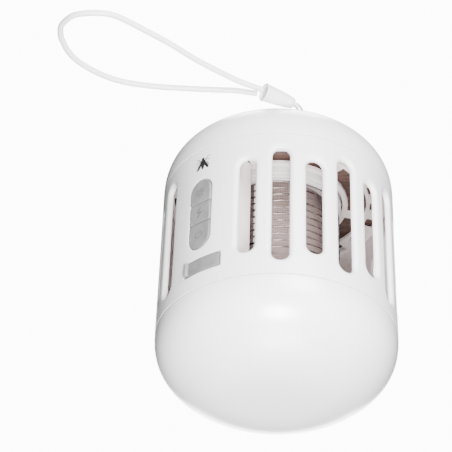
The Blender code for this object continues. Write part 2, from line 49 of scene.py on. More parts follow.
# ---------------------------------------------------------------- camera
# The lamp is looked at from 34.5 degrees below its waist through a long lens, with a slight roll, and
# stands a little right of and below the middle of the picture, so that the strap has room.
LOOK_UP = math.radians(34.52)
ROLL = math.radians(0.69)
DISTANCE = 0.7
LENS, SENSOR = 147.3, 36.0
SHIFT = (-0.1137, 0.1004)  # in picture widths

foot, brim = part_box("cage_shell")
waist = Vector((0, 0, (foot.z + brim.z) / 2))
look = Vector((0, math.cos(LOOK_UP), math.sin(LOOK_UP)))
camera = bpy.data.objects.new("camera", bpy.data.cameras.new("camera"))
camera.data.lens, camera.data.sensor_width = LENS, SENSOR
camera.data.shift_x, camera.data.shift_y = SHIFT
camera.data.clip_start = 0.01
camera.matrix_world = (
    Matrix.Translation(waist - DISTANCE * look)
    @ look.to_track_quat("-Z", "Y").to_matrix().to_4x4()
    @ Matrix.Rotation(ROLL, 4, "Z")
)
bpy.context.scene.collection.objects.link(camera)
bpy.context.scene.camera = camera


# ---------------------------------------------------------------- strap: cord, string and clamp
# A coated cord is bent into a loop and its two ends are moulded into a bell-shaped clamp. A thin string
# comes out of the clamp's narrow end and goes round the steel eyelet bar in the cap's cup.
CORD, STRING = 2.2 * MM, 1.0 * MM
BAR_RADIUS, STRAND_GAP = 1.2, 0.75
STRAP_WAY = Vector((-0.75, -0.66, 0)).normalized()  # plan direction in which the strap lies
STRAP_SIDE = Vector((-STRAP_WAY.y, STRAP_WAY.x, 0))  # along the eyelet bar
CLAMP_WIDE, CLAMP_NARROW = Vector((-6.0, -40.1, 112.2)), Vector((5.9, -33.1, 112.2))
STRING_ROUTE = [
    (7.5, -30.3, 112.6),
    (7.6, -27.3, 113.3),
    (4.0, -22.5, 114.2),
    (-2.0, -17.5, 114.9),
    (-6.5, -12.0, 115.3),
]
CORD_ROUTE = [
    (-6.6, -41.5, 112.2),
    (-14.9, -46.1, 112.1),
    (-23, -52, 112),
    (-31, -58.7, 111.7),
    (-40.2, -68, 111.1),
    (-48.9, -75.8, 110.5),
    (-56.8, -82.6, 109.9),
    (-61.6, -85.2, 109.6),
    (-67.6, -86.1, 109.1),
    (-73.4, -85.2, 108.8),
    (-76.9, -82.3, 108.6),
    (-78.9, -78.6, 108.6),
    (-79.2, -73, 108.7),
    (-78.8, -71.5, 108.8),
    (-77.8, -66.7, 109),
    (-75.4, -61.3, 109.3),
    (-71.9, -56.8, 109.6),
    (-66.7, -51.9, 110),
    (-61.1, -48.2, 110.4),
    (-54.8, -45.8, 110.7),
    (-45.6, -43.6, 111.2),
    (-34.9, -42.2, 111.7),
    (-24.7, -41.3, 112),
    (-16.4, -40.8, 112.1),
    (-8.5, -39.1, 112.2),
]


class Num:
    """A number socket of a shader, on which Python's operators add Math nodes."""

    def __init__(self, tree, socket):
        self.tree, self.socket = tree, socket

    def math(self, operation, *others):
        made = self.tree.add("ShaderNodeMath", {"operation": operation}, *others)
        return Num(self.tree, made.outputs[0])

    def __add__(self, other):
        return self.math("ADD", self, other)

    def __radd__(self, other):
        return self.math("ADD", other, self)

    def __sub__(self, other):
        return self.math("SUBTRACT", self, other)

    def __rsub__(self, other):
        return self.math("SUBTRACT", other, self)

    def __mul__(self, other):
        return self.math("MULTIPLY", self, other)

    def __rmul__(self, other):
        return self.math("MULTIPLY", other, self)

    def sine(self):
        return self.math("SINE", self)

    def larger(self, other):
        return self.math("MAXIMUM", self, other)

    def step(self, low, high):
        """0 below low and 1 above high, with a smooth rise between them."""
        made = self.tree.add("ShaderNodeMapRange", {"interpolation_type": "SMOOTHSTEP"}, self, low, high)
        return Num(self.tree, made.outputs[0])


class Tree:
    """A material whose shader is one Principled BSDF, and the ways to add to it."""

    def __init__(self, name):
        self.material = bpy.data.materials.new(name)
        self.material.use_nodes = True
        self.nodes, self.links = self.material.node_tree.nodes, self.material.node_tree.links
        self.shader = self.nodes["Principled BSDF"]
        self.place = self.add("ShaderNodeTexCoord", {}).outputs["Object"]

    def add(self, kind, settings, *inputs, **named):
        """A node of any type: its settings first, then its inputs' values or links."""
        made = self.nodes.new(kind)
        for key, value in settings.items():
            setattr(made, key, value)
        for key, value in [*enumerate(inputs), *named.items()]:
            self.join(value, made.inputs[key.replace("_", " ") if isinstance(key, str) else key])
        return made

    def join(self, value, socket):
        if isinstance(value, Num):
            value = value.socket
        if isinstance(value, bpy.types.NodeSocket):
            self.links.new(value, socket)
        elif value is not None:
            opaque = socket.type == "RGBA" and len(value) == 3
            socket.default_value = (*value, 1) if opaque else value

    def noise(self, size, detail=3.0, stretch=(1, 1, 1), rough=0.5):
        """Cloud noise from 0 to 1, whose lumps are about size metres across, stretched along an axis."""
        place = self.add("ShaderNodeMapping", {}, self.place, Scale=tuple(1 / s for s in stretch))
        look = {"Scale": 1 / size, "Detail": detail, "Roughness": rough}
        return Num(self, self.add("ShaderNodeTexNoise", {}, Vector=place.outputs[0], **look).outputs[0])

    def axis(self, which):
        """The object's own X, Y or Z, in metres."""
        return Num(self, self.add("ShaderNodeSeparateXYZ", {}, self.place).outputs["XYZ".index(which)])

    def radius(self):
        """Distance from the lamp's axis, in metres."""
        flat = self.add("ShaderNodeVectorMath", {"operation": "MULTIPLY"}, self.place, (1, 1, 0))
        length = self.add("ShaderNodeVectorMath", {"operation": "LENGTH"}, flat.outputs[0])
        return Num(self, length.outputs["Value"])

    def turn(self):
        """Turn about the lamp's axis, in radians from +Y towards +X."""
        across = self.axis("X")
        return across.math("ARCTAN2", across, self.axis("Y"))

    def blend(self, share, first, second):
        """The first colour where share is 0 and the second where it is 1."""
        made = self.add("ShaderNodeMix", {"data_type": "RGBA"})
        self.join(share, made.inputs[0])
        self.join(first, made.inputs[6])
        self.join(second, made.inputs[7])
        return made.outputs[2]

    def bump(self, height, depth):
        """A normal from a height of 0 to 1, worth depth metres."""
        return self.add("ShaderNodeBump", {}, Strength=1.0, Distance=depth, Height=height).outputs[0]

    def surface(self, **values):
        """Sets the shader's sockets, whose names have spaces for underscores."""
        for key, value in values.items():
            self.join(value, self.shader.inputs[key.replace("_", " ")])
        return self.material


def plastic(name, colour, roughness, grain=0.00035, depth=0.000006, shade=0.03, coat=0.0):
    """Moulded plastic: a fine spark-eroded grain, slow changes of gloss and a slight cloudiness."""
    tree = Tree(name)
    cloud, fine = tree.noise(0.018), tree.noise(grain, 2.0)
    dark = tuple(c * (1 - shade) for c in colour)
    return tree.surface(
        Base_Color=tree.blend(cloud.step(0.3, 0.7), dark, colour),
        Roughness=tree.noise(0.006) * 0.12 + (roughness - 0.06),
        Normal=tree.bump(fine, depth),
        Coat_Weight=coat,
    )


def smooth_line(route, count):
    """Points at even steps along a Catmull-Rom curve through the route's own points: each stretch is
    the cubic whose ends run parallel to the lines between their neighbours."""
    p = np.array([tuple(q) for q in route], float)
    p = np.vstack([2 * p[0] - p[1], p, 2 * p[-1] - p[-2]])
    t = np.linspace(0, 1, 24, endpoint=False)[:, None, None]
    a, b, c, d = p[:-3], p[1:-2], p[2:-1], p[3:]
    fine = 0.5 * (2 * b + (c - a) * t + (2 * a - 5 * b + 4 * c - d) * t**2 + (3 * b - a - 3 * c + d) * t**3)
    fine = np.vstack([fine.transpose(1, 0, 2).reshape(-1, 3), p[-2]])
    along = np.concatenate([[0], np.cumsum(np.linalg.norm(np.diff(fine, axis=0), axis=1))])
    at = np.linspace(0, along[-1], count)
    return np.stack([np.interp(at, along, fine[:, k]) for k in range(3)], axis=1) * MM


def round_tube(name, points, thickness, material, sides=5):
    """A curve of one open spline with a round section, through points in metres."""
    curve = bpy.data.curves.new(name, "CURVE")
    curve.dimensions = "3D"
    curve.bevel_depth, curve.bevel_resolution, curve.use_fill_caps = thickness / 2, sides, True
    line = curve.splines.new("POLY")
    line.points.add(len(points) - 1)
    line.points.foreach_set("co", np.hstack([points, np.ones((len(points), 1))]).ravel())
    line.use_smooth = True
    curve.materials.append(material)
    body = bpy.data.objects.new(name, curve)
    bpy.context.scene.collection.objects.link(body)
    return body


def grid_mesh(name, parts, material, sharp=40.0, body=None, stands_for=()):
    """A mesh of one or more grids of points, each an array of rows by columns by 3 in millimetres with
    flags that close it round its rows or its columns. Points that meet are merged, and the mesh rides on
    a CAD body in place of the nodes it stands for."""
    points, faces, count = [], [], 0
    for grid, loop_rows, loop_columns in parts:
        rows, columns = grid.shape[:2]
        number = count + np.arange(rows * columns).reshape(rows, columns)
        if loop_rows:
            number = np.vstack([number, number[:1]])
        if loop_columns:
            number = np.hstack([number, number[:, :1]])
        quads = np.stack([number[:-1, :-1], number[1:, :-1], number[1:, 1:], number[:-1, 1:]], axis=-1)
        points.append(grid.reshape(-1, 3) * MM)
        faces.append(quads.reshape(-1, 4))
        count += rows * columns
    mesh = bpy.data.meshes.new(name)
    mesh.from_pydata(np.vstack(points).tolist(), [], np.vstack(faces).tolist())
    shape = bmesh.new()
    shape.from_mesh(mesh)
    bmesh.ops.remove_doubles(shape, verts=shape.verts, dist=2e-6)
    bmesh.ops.dissolve_degenerate(shape, edges=shape.edges, dist=1e-7)
    bmesh.ops.recalc_face_normals(shape, faces=shape.faces)
    shape.to_mesh(mesh)
    shape.free()
    mesh.shade_smooth()
    mesh.set_sharp_from_angle(angle=math.radians(sharp))
    mesh.materials.append(material)
    piece = bpy.data.objects.new(name, mesh)
    bpy.context.scene.collection.objects.link(piece)
    if body:
        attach(piece, body)
    if stands_for:
        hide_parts(*stands_for)
    return piece


def turned(outline, sides=128):
    """A closed outline of (radius, height) turned about the lamp's axis: the point at turn a is
    (r sin a, -r cos a, z). The outline runs so that the solid is on its left."""
    r, z = np.array(outline, float).T
    a = np.linspace(0, 2 * np.pi, sides, endpoint=False)[:, None]
    return np.stack([r * np.sin(a), -r * np.cos(a), z + 0 * a], axis=-1), True, True


cord_white = plastic("strap_coating", (0.87, 0.87, 0.87), 0.36, grain=0.0012, depth=0.00002, coat=0.15)
string_white = plastic("string_braid", (0.83, 0.82, 0.82), 0.6, grain=0.0004, depth=0.00005)

cord = round_tube("cord_loop", smooth_line(CORD_ROUTE, 240), CORD, cord_white)
axis = (CLAMP_NARROW - CLAMP_WIDE).normalized()
across = axis.cross(Vector((0, 0, 1)))
bar_low, bar_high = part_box("eyelet_bar")
pivot = Vector((0, 0, (bar_low.z + bar_high.z) / 2 / MM))


def beside_bar(way, up, along):
    """A point out along the strap's direction, up, and along the bar from the bar's middle."""
    return pivot + STRAP_WAY * way + Vector((0, 0, up)) + STRAP_SIDE * along


# The string's two strands run side by side from the clamp's hole, and meet in a wrap round the bar.
HOLE_OUT, HOLE_GAP, WRAP_SLACK = 0.4, 0.7, 0.35
WRAP_START, WRAP_END = 100, 268  # degrees round the bar: 0 is the strap's side, 90 the top
mouth = CLAMP_NARROW + axis * HOLE_OUT
strands = []
for sign in (1, -1):
    strand, previous = [mouth + across * HOLE_GAP * sign], mouth
    for point in STRING_ROUTE:
        way = (Vector(point) - previous).normalized()
        strand.append(Vector(point) + way.cross(Vector((0, 0, 1))) * STRAND_GAP * sign)
        previous = Vector(point)
    strands.append(strand)
wrap_radius, wrap = BAR_RADIUS + STRING / 2 / MM + WRAP_SLACK, []
wrap_turns = np.radians(np.linspace(WRAP_START, WRAP_END, 7))
for a, along in zip(wrap_turns, np.linspace(-STRAND_GAP, STRAND_GAP, 7)):
    wrap.append(beside_bar(wrap_radius * math.cos(a), wrap_radius * math.sin(a), along))
over = [beside_bar(way, up, -STRAND_GAP) for way, up in ((8.6, 3.2), (4.6, 3.0), (1.4, 2.2))]
under = [beside_bar(way, up, STRAND_GAP) for way, up in ((3.2, -1.2), (5.6, 0.9), (8.4, 3.2))]
string_points = smooth_line(strands[1] + over + wrap + under + strands[0][::-1], 220)
string = round_tube("cord_string", string_points, STRING, string_white, sides=4)

# The clamp is turned to a bell: a thin lip at the wide end, a hollow mouth for the cord's two ends, a long
# taper and a rounded shoulder with a small hole for the string.
CLAMP_DRAWN = 13.8  # length between the two ends for which the outline's (radius, height) points are drawn
CLAMP_HOLE = [(0, 12.9), (0.62, 12.9)]
CLAMP_SHOULDER = [(0.75, 13.4), (1.5, 13.25), (2.0, 12.7), (2.25, 11.8)]
CLAMP_TAPER = [(2.5, 10.4), (2.9, 7), (3.25, 3.2), (3.35, 1.2)]
CLAMP_LIP = [(3.45, 1.0), (3.57, 0.7), (3.57, 0.25), (3.4, 0.02), (3.1, 0.0)]
CLAMP_MOUTH = [(2.95, 0.2), (2.9, 0.8), (0, 0.8)]


def clamp_grid():
    """The bell's outline turned about the line between its two ends, with the string's hole closed
    a little inside the shoulder."""
    outline = np.array(CLAMP_HOLE + CLAMP_SHOULDER + CLAMP_TAPER + CLAMP_LIP + CLAMP_MOUTH)
    a = np.linspace(0, 2 * np.pi, 48, endpoint=False)[:, None]
    one, two = np.array(across), np.array(axis.cross(across))
    reach = (CLAMP_NARROW - CLAMP_WIDE).length / CLAMP_DRAWN
    ring = one * np.cos(a)[..., None] + two * np.sin(a)[..., None]
    return np.array(CLAMP_WIDE) + ring * outline[:, 0, None] + np.array(axis) * (outline[:, 1, None] * reach)


bell = [(clamp_grid(), True, False)]
clamp = grid_mesh("strap_bell", bell, cord_white, 50, "strap", ["strap_clamp"])
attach(cord, "strap")
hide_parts("strap_cord")
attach(string, "strap")
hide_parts("strap_string")


# ---------------------------------------------------------------- floor and light
# A pale floor under the lamp shows only from above and fades out towards its edge. The light is white and
# soft: a weak even surround, near panels in front and below, and far ones above, at the right and behind.
FLOOR_HALF, FLOOR_Z = 3.0, -0.0004
FADE_START, FADE_END = 0.3, 0.9
BACKDROP_STRENGTH, AMBIENT_STRENGTH = 12.5, 0.14
floor = bpy.data.objects.new("floor", bpy.data.meshes.new("floor"))
corners = [(x * FLOOR_HALF, y * FLOOR_HALF, FLOOR_Z) for x, y in ((-1, -1), (1, -1), (1, 1), (-1, 1))]
floor.data.from_pydata(corners, [], [(0, 1, 2, 3)])
bpy.context.scene.collection.objects.link(floor)
sheet = Tree("pale_floor")
sheet.surface(Base_Color=(0.9, 0.9, 0.9), Roughness=0.9)
behind = Num(sheet, sheet.add("ShaderNodeNewGeometry", {}).outputs["Backfacing"])
gone = behind.larger(sheet.radius().step(FADE_START, FADE_END))
clear = sheet.add("ShaderNodeBsdfTransparent", {})
mixed = sheet.add("ShaderNodeMixShader", {}, gone, sheet.shader.outputs[0], clear.outputs[0])
sheet.links.new(mixed.outputs[0], sheet.nodes["Material Output"].inputs["Surface"])
floor.data.materials.append(sheet.material)
floor.visible_diffuse = floor.visible_glossy = floor.visible_shadow = floor.visible_transmission = False

world = bpy.data.worlds.new("surround")
bpy.context.scene.world = world
world.use_nodes = True
surround = world.node_tree
backdrop = surround.nodes["Background"]
backdrop.inputs["Color"].default_value = (1, 1, 1, 1)
backdrop.inputs["Strength"].default_value = BACKDROP_STRENGTH
ambient = surround.nodes.new("ShaderNodeBackground")
ambient.inputs["Color"].default_value = (1, 1, 1, 1)
ambient.inputs["Strength"].default_value = AMBIENT_STRENGTH
seen = surround.nodes.new("ShaderNodeLightPath")
either = surround.nodes.new("ShaderNodeMixShader")
surround.links.new(seen.outputs["Is Camera Ray"], either.inputs[0])
surround.links.new(ambient.outputs[0], either.inputs[1])
surround.links.new(backdrop.outputs[0], either.inputs[2])
surround.links.new(either.outputs[0], surround.nodes["World Output"].inputs["Surface"])


def soft_light(name, place, power, size):
    """A square light panel that faces the lamp's waist and isn't seen itself."""
    light = bpy.data.objects.new(name, bpy.data.lights.new(name, "AREA"))
    light.data.energy, light.data.size = power, size
    way = waist - Vector(place)
    light.matrix_world = Matrix.Translation(Vector(place)) @ way.to_track_quat("-Z", "Y").to_matrix().to_4x4()
    light.visible_camera = False
    bpy.context.scene.collection.objects.link(light)


soft_light("low_front_panel", (0.01, -0.31, -0.22), 6.2, 0.14)
soft_light("high_front_panel", (0.12, -0.35, 0.17), 3.7, 0.2)
soft_light("under_panel", (0.01, -0.08, -0.42), 2.6, 0.2)
soft_light("top_panel", (0, 0.16, 0.84), 10.0, 0.4)
soft_light("right_panel", (0.46, -0.46, -0.10), 1.2, 0.4)
soft_light("back_panel", (0, 0.77, 0.29), 10.0, 0.5)


# ---------------------------------------------------------------- cage
# One white moulding: a slightly tapered tube with twenty slots, long and short in turn, whose outer edges
# are well rounded, and a plain stretch two slots wide with the keys' capsule and the port cover's recess.
PLACES, PANEL_PLACES = 22, (19, 20)  # places round the cage, and the two that the panel takes
PITCH = 360 / PLACES
TURN = 1.24  # degrees from the front to the first slot
STEPS_ROUND = 8  # faces across one place
WALL = 2.0
SLOT = 3.35  # half of a slot's width
LONG, SHORT = (6.3, 56.3), (10.4, 52.2)
SLOT_ROUNDING, KEYS_ROUNDING = (1.75, 1.45), (0.5, 0.45)  # over the face and into the wall
KEYS_Z, KEY_HALF, KEYS_GAP = (17.5, 48.3), 4.8, 0.3
COVER_Z, COVER_TURNS = (6.8, 12.7), (-48.0, -27.4)
RECESS_DEPTH, RECESS_CORNER, RECESS_EDGE = 1.3, 0.4, 0.25
PORT_HALF, PORT_CORNER, PORT_SHIFT = (4.3, 1.4), 0.45, 0.4
PANEL = TURN - 2.5 * PITCH
PANEL_SPLIT = 41.0  # height at which the panel's cell for the keys meets the one for the port
seam_low, seam_high = 26.2, 89.2
cage_low, cage_high = foot.z / MM, brim.z / MM
MEAN_R, FOOT_R, TAPER = 44.7, 45.0, 0.6


def cage_radius(z):
    """The cage's outer radius, which falls evenly from its foot to its brim."""
    return FOOT_R - TAPER * (z - seam_low) / (seam_high - seam_low)


def on_cage(u, z, depth):
    """Points at u millimetres round the cage, z high and depth under its outer face."""
    r, a = cage_radius(z) - depth, u / MEAN_R
    return np.stack([r * np.sin(a), -r * np.cos(a), z + 0 * a], axis=-1)


def cell_rim(left, right, low, high, pieces):
    """The points round a rectangle of the cage's face, with whole millimetres up its sides so that
    neighbouring cells meet, in one loop from its lower left corner."""
    clear = 0.6  # least height from a corner to the next point
    up = np.concatenate([[low], np.arange(math.ceil(low + clear), high - clear, 1.0), [high]])
    over = np.linspace(left, right, pieces + 1)
    return np.concatenate(
        [
            np.stack([over[:-1], 0 * over[:-1] + low], 1),
            np.stack([0 * up[:-1] + right, up[:-1]], 1),
            np.stack([over[:0:-1], 0 * over[:0:-1] + high], 1),
            np.stack([0 * up[:0:-1] + left, up[:0:-1]], 1),
        ]
    )


def opening_rim(rim, core, radius):
    """Each point of a cell's rim is joined to the nearest point of the opening's core, a box of two
    corners, and the opening's edge crosses that line at radius from the core."""
    near = np.clip(rim, core[0], core[1])
    way = rim - near
    return near + way / np.linalg.norm(way, axis=1, keepdims=True) * radius


def cell(left, right, low, high, core, radius, rounding, pieces=STEPS_ROUND, steps=5):
    """A cell's grid: over the face to the opening, round its outer edge by a quarter ellipse, through
    the wall, and back over the inner face, whose edge is broken by a small chamfer."""
    chamfer = 0.15
    rim = cell_rim(left, right, low, high, pieces)
    rows = []
    edge = opening_rim(rim, core, radius + rounding[0])
    for share in np.linspace(0, 1, steps + 1)[:-1]:
        flat = rim + (edge - rim) * share
        rows.append(on_cage(flat[:, 0], flat[:, 1], 0.0))
    for a in np.linspace(0, np.pi / 2, 7):
        at = opening_rim(rim, core, radius + rounding[0] * (1 - np.sin(a)))
        rows.append(on_cage(at[:, 0], at[:, 1], rounding[1] * (1 - np.cos(a))))
    edge = opening_rim(rim, core, radius)
    rows.append(on_cage(edge[:, 0], edge[:, 1], WALL - chamfer))
    edge = opening_rim(rim, core, radius + chamfer)
    for share in np.linspace(0, 1, steps + 1):
        flat = edge + (rim - edge) * share
        rows.append(on_cage(flat[:, 0], flat[:, 1], WALL))
    return np.array(rows), False, True


def arc(turn):
    """Millimetres round the cage for a turn in degrees."""
    return math.radians(turn) * MEAN_R


def port_cell(left, right, low, high):
    """The cell of the port: the cover's recess with a small outer radius, its floor, and the port's
    opening through the floor."""
    rim = cell_rim(left, right, low, high, 2 * STEPS_ROUND)
    start, end = arc(COVER_TURNS[0] - 0.5) + RECESS_CORNER, arc(COVER_TURNS[1] + 0.6) - RECESS_CORNER
    recess = np.array([(start, seam_low + COVER_Z[0] + 0.1), (end, seam_low + COVER_Z[1] - 0.1)])
    centre = np.array([arc(sum(COVER_TURNS) / 2) - PORT_SHIFT, seam_low + sum(COVER_Z) / 2])
    port = np.array([centre - PORT_HALF, centre + PORT_HALF])
    rows = []
    edge = opening_rim(rim, recess, RECESS_CORNER + RECESS_EDGE)
    for share in np.linspace(0, 1, 9)[:-1]:
        flat = rim + (edge - rim) * share
        rows.append(on_cage(flat[:, 0], flat[:, 1], 0.0))
    for a in np.linspace(0, np.pi / 2, 4):
        at = opening_rim(rim, recess, RECESS_CORNER + RECESS_EDGE * (1 - np.sin(a)))
        rows.append(on_cage(at[:, 0], at[:, 1], RECESS_EDGE * (1 - np.cos(a))))
    edge, hole = opening_rim(rim, recess, RECESS_CORNER), opening_rim(rim, port, PORT_CORNER)
    for share in np.linspace(0, 1, 7):
        flat = edge + (hole - edge) * share
        rows.append(on_cage(flat[:, 0], flat[:, 1], RECESS_DEPTH))
    for share in np.linspace(0, 1, 9):
        flat = hole + (rim - hole) * share
        rows.append(on_cage(flat[:, 0], flat[:, 1], WALL))
    return np.array(rows), False, True


def brim_ring(z, order):
    """The narrow ring that closes the wall at its foot or its brim, over the cells' own points, from the
    outer face inwards where order is 1 and outwards where it is -1."""
    turns = np.linspace(0, 2 * np.pi, PLACES * STEPS_ROUND, endpoint=False) * MEAN_R + arc(TURN - PITCH / 2)
    rows = [on_cage(turns, z + 0 * turns, depth) for depth in np.linspace(0, WALL, 3)[::order]]
    return np.array(rows), False, True


cage_parts = []
for place in range(PLACES):
    if place not in PANEL_PLACES:
        low, high = LONG if place % 2 == 0 else SHORT
        middle = arc(TURN + place * PITCH)
        core = np.array([(middle, seam_low + low + SLOT), (middle, seam_low + high - SLOT)])
        side = arc(PITCH / 2)
        cage_parts.append(cell(middle - side, middle + side, cage_low, cage_high, core, SLOT, SLOT_ROUNDING))
left, right = arc(PANEL - PITCH), arc(PANEL + PITCH)
core = np.array([(arc(PANEL), seam_low + z) for z in (KEYS_Z[0] + KEY_HALF, KEYS_Z[1] - KEY_HALF)])
capsule = core, KEY_HALF + KEYS_GAP, KEYS_ROUNDING
cage_parts.append(cell(left, right, PANEL_SPLIT, cage_high, *capsule, 2 * STEPS_ROUND, 9))
cage_parts.append(port_cell(left, right, cage_low, PANEL_SPLIT))
cage_parts += [brim_ring(cage_low, 1), brim_ring(cage_high, -1)]

# The inner half of the wall is painted warm and pinkish: a painted reflection of the violet lamps and the
# sleeve, not a colour of the plastic.
SHELL_WHITES = (0.84, 0.84, 0.845), (0.87, 0.87, 0.872)
shell = Tree("white_moulding")
inside = 1 - shell.radius().step(0.0424, 0.0436)
# Painted reflection: the warm pink that the radius mask lays on the wall's inner half.
painted_warm_reflection = shell.blend(shell.noise(0.02).step(0.3, 0.7), (0.84, 0.73, 0.72), (0.9, 0.82, 0.81))
cloud = shell.blend(shell.noise(0.03).step(0.3, 0.7), *SHELL_WHITES)
white_moulding = shell.surface(
    Base_Color=shell.blend(inside, cloud, painted_warm_reflection),
    Roughness=shell.noise(0.008) * 0.1 + 0.3,
    Normal=shell.bump(shell.noise(0.0004, 2.0), 0.000005),
    Coat_Weight=0.2,
    Coat_Roughness=0.2,
)
grid_mesh("cage_moulding", cage_parts, white_moulding, 40, "housing", ["cage_shell"])


# ---------------------------------------------------------------- insect sign
# A small black sign of a fly is printed on the cage over the keys: a body of three ovals, two wings and
# six legs, each a flat patch that lies a hair above the moulding.
SIGN_U, SIGN_Z, SIGN_LIFT = arc(PANEL) + 0.4, 82.0, 0.04


def oval(u, z, half_u, half_z, lean=0.0):
    """A flat oval on the cage's face, as rings about its middle, turned by lean degrees."""
    a, share = np.linspace(0, 2 * np.pi, 32, endpoint=False)[None], np.linspace(0, 1, 5)[:, None]
    x, y, c = half_u * share * np.cos(a), half_z * share * np.sin(a), math.radians(lean)
    at = u + x * math.cos(c) - y * math.sin(c), z + x * math.sin(c) + y * math.cos(c)
    return on_cage(SIGN_U + at[0], SIGN_Z + at[1], -SIGN_LIFT), False, True


def leg(points, width=0.3):
    """A flat stroke along a line of (across, height) points, as wide on both sides of it."""
    line = np.array(points, float)
    way = np.gradient(line, axis=0)
    normal = np.stack([-way[:, 1], way[:, 0]], 1) / np.linalg.norm(way, axis=1, keepdims=True)
    rows = [line + normal * width * share for share in (-0.5, 0, 0.5)]
    return np.array([on_cage(SIGN_U + r[:, 0], SIGN_Z + r[:, 1], -SIGN_LIFT) for r in rows]), False, False


fly = [oval(0, 2.2, 0.75, 0.6), oval(0, 1.0, 0.85, 1.0), oval(0, -1.1, 0.75, 1.6)]
for side in (-1, 1):
    fly.append(oval(side * 1.6, -1.0, 0.62, 2.1, side * 32))
    for foot_z, knee_z in ((3.0, 2.4), (0.9, 1.4), (-1.8, 0.1)):
        fly.append(leg([(side * 0.6, 1.1), (side * 2.1, knee_z), (side * 3.1, foot_z)]))
ink = plastic("black_print", (0.012, 0.012, 0.012), 0.45, grain=0.0002, depth=0.000002, shade=0.3)
fly_sign = grid_mesh("fly_sign", fly, ink, 60, "housing")


# ---------------------------------------------------------------- cap
# The cap is a thin white dome, moulded in one piece and fixed on a fine seam. In the middle of its top is a
# round cup, crossed by the eyelet bar.
CAP_R, CAP_HEIGHT, CAP_WALL = 44.4, 25.5, 1.8
CAP_BEND, CAP_POWER = 2.57, 2.74
CUP_R, CUP_DEPTH = 10.0, 6.2


def dome_line(radius, height, bend, power, start, end, count):
    """Points of r = radius (1 - t^bend)^(1/power), h = height t, spaced evenly in angle from the rim."""
    t = np.sin(np.linspace(start, end, count))
    return radius * (1 - t**bend) ** (1 / power), height * t


r, h = dome_line(CAP_R, CAP_HEIGHT, CAP_BEND, CAP_POWER, 0.012, 1.5, 60)
keep = r > CUP_R + 2
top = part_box("top_cap")[1].z / MM
seam_edge = [(CAP_R - 0.25, seam_high + 0.15), (CAP_R - 0.05, seam_high + 0.25)]
outer = [*seam_edge, *zip(r[keep], seam_high + h[keep])]
lip = [(CUP_R + 1.2, top - 0.02), (CUP_R + 0.6, top - 0.02), (CUP_R + 0.2, top - 0.15), (CUP_R, top - 0.5)]
cup_z = top - CUP_DEPTH
cup = [(CUP_R, cup_z + 0.8), (CUP_R - 0.25, cup_z + 0.25), (CUP_R - 0.8, cup_z), (0, cup_z)]
under_cup = [(0, cup_z - CAP_WALL), (CUP_R + CAP_WALL, cup_z - CAP_WALL), (CUP_R + CAP_WALL, top - 2.2)]
keep = r > CUP_R + 4
inner = list(zip(r[keep][::-1] - CAP_WALL, seam_high + h[keep][::-1] * 0.93))
cap_outline = [*outer, *lip, *cup, *under_cup, *inner, (CAP_R - CAP_WALL, seam_high + 0.15)]
cap_tree = Tree("cap_moulding")
cap_shade = cap_tree.blend(cap_tree.noise(0.03).step(0.3, 0.7), *SHELL_WHITES)
cap_moulding = cap_tree.surface(
    Base_Color=cap_shade,
    Roughness=cap_tree.noise(0.008) * 0.1 + 0.28,
    Normal=cap_tree.bump(cap_tree.noise(0.0004, 2.0), 0.000004),
    Coat_Weight=0.2,
    Coat_Roughness=0.2,
)
dome = [turned(cap_outline, 160)]
grid_mesh("cap_dome", dome, cap_moulding, 40, "housing", ["top_cap"])


# ---------------------------------------------------------------- diffuser
# The bowl is blow-moulded in milky plastic. A flat in its bottom lets the lamp stand, and a spigot with a
# coarse thread screws it into the cage.
BOWL_R, BOWL_DEPTH, BOWL_WALL = 45.0, 28.13, 1.8
BOWL_BEND, BOWL_POWER = 2.44, 2.0
bowl_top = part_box("diffuser")[1].z / MM
r, h = dome_line(BOWL_R, BOWL_DEPTH, BOWL_BEND, BOWL_POWER, 0.01, 1.5707, 90)
soft = 0.9  # the flat runs out into the dome over about this height: z = soft ln(1 + e^(z / soft))
z = soft * np.log(1 + np.exp((seam_low - h) / soft))
z = z - z.min()
keep = z < seam_low - 0.5
outer = [(BOWL_R - 0.3, seam_low - 0.15), (BOWL_R - 0.05, seam_low - 0.3), *zip(r[keep], z[keep])]
inner = [(a - BOWL_WALL, b * 0.93 + BOWL_WALL) for a, b in zip(r[keep], z[keep]) if a > 2.5 and b < 22]
spigot = [(39.0, 24.0), (39.0, bowl_top), (40.8, bowl_top), (40.8, seam_low + 1.9), (42.3, seam_low + 1.6)]
bowl_outline = [*outer[::-1], (42.3, seam_low - 0.15), *spigot[::-1], *inner, (0, BOWL_WALL)]
milk = Tree("milky_bowl")
cloudy = milk.blend(milk.noise(0.04).step(0.3, 0.7), (0.9, 0.9, 0.9), (0.93, 0.93, 0.925))
milky_bowl = milk.surface(
    Base_Color=cloudy,
    Roughness=milk.noise(0.01) * 0.08 + 0.3,
    Normal=milk.bump(milk.noise(0.0006, 2.0), 0.000004),
    Coat_Weight=1.0,
    Coat_Roughness=0.26,
    Subsurface_Weight=0.15,
    Subsurface_Radius=(0.004, 0.004, 0.004),
    Subsurface_Scale=1.0,
)
bowl = [turned(bowl_outline, 160)]
grid_mesh("bowl", bowl, milky_bowl, 40, "diffuser", ["diffuser"])


# ---------------------------------------------------------------- keys
# Three silicone keys share one capsule. Each is pillowed at its edges and carries a raised mark: a sun
# for the lamp, a bolt for the grid, and a ring with a bar for power.
OUT = Vector((math.sin(math.radians(PANEL)), -math.cos(math.radians(PANEL)), 0))
SIDE = Vector((-OUT.y, OUT.x, 0))
KEY_SPLITS = (28.9, 37.8)
KEY_FRONT, KEY_BACK = 44.8, 40.6
KEY_EDGE, KEY_SWELL, KEY_CORNER = 0.45, 0.06, 0.35


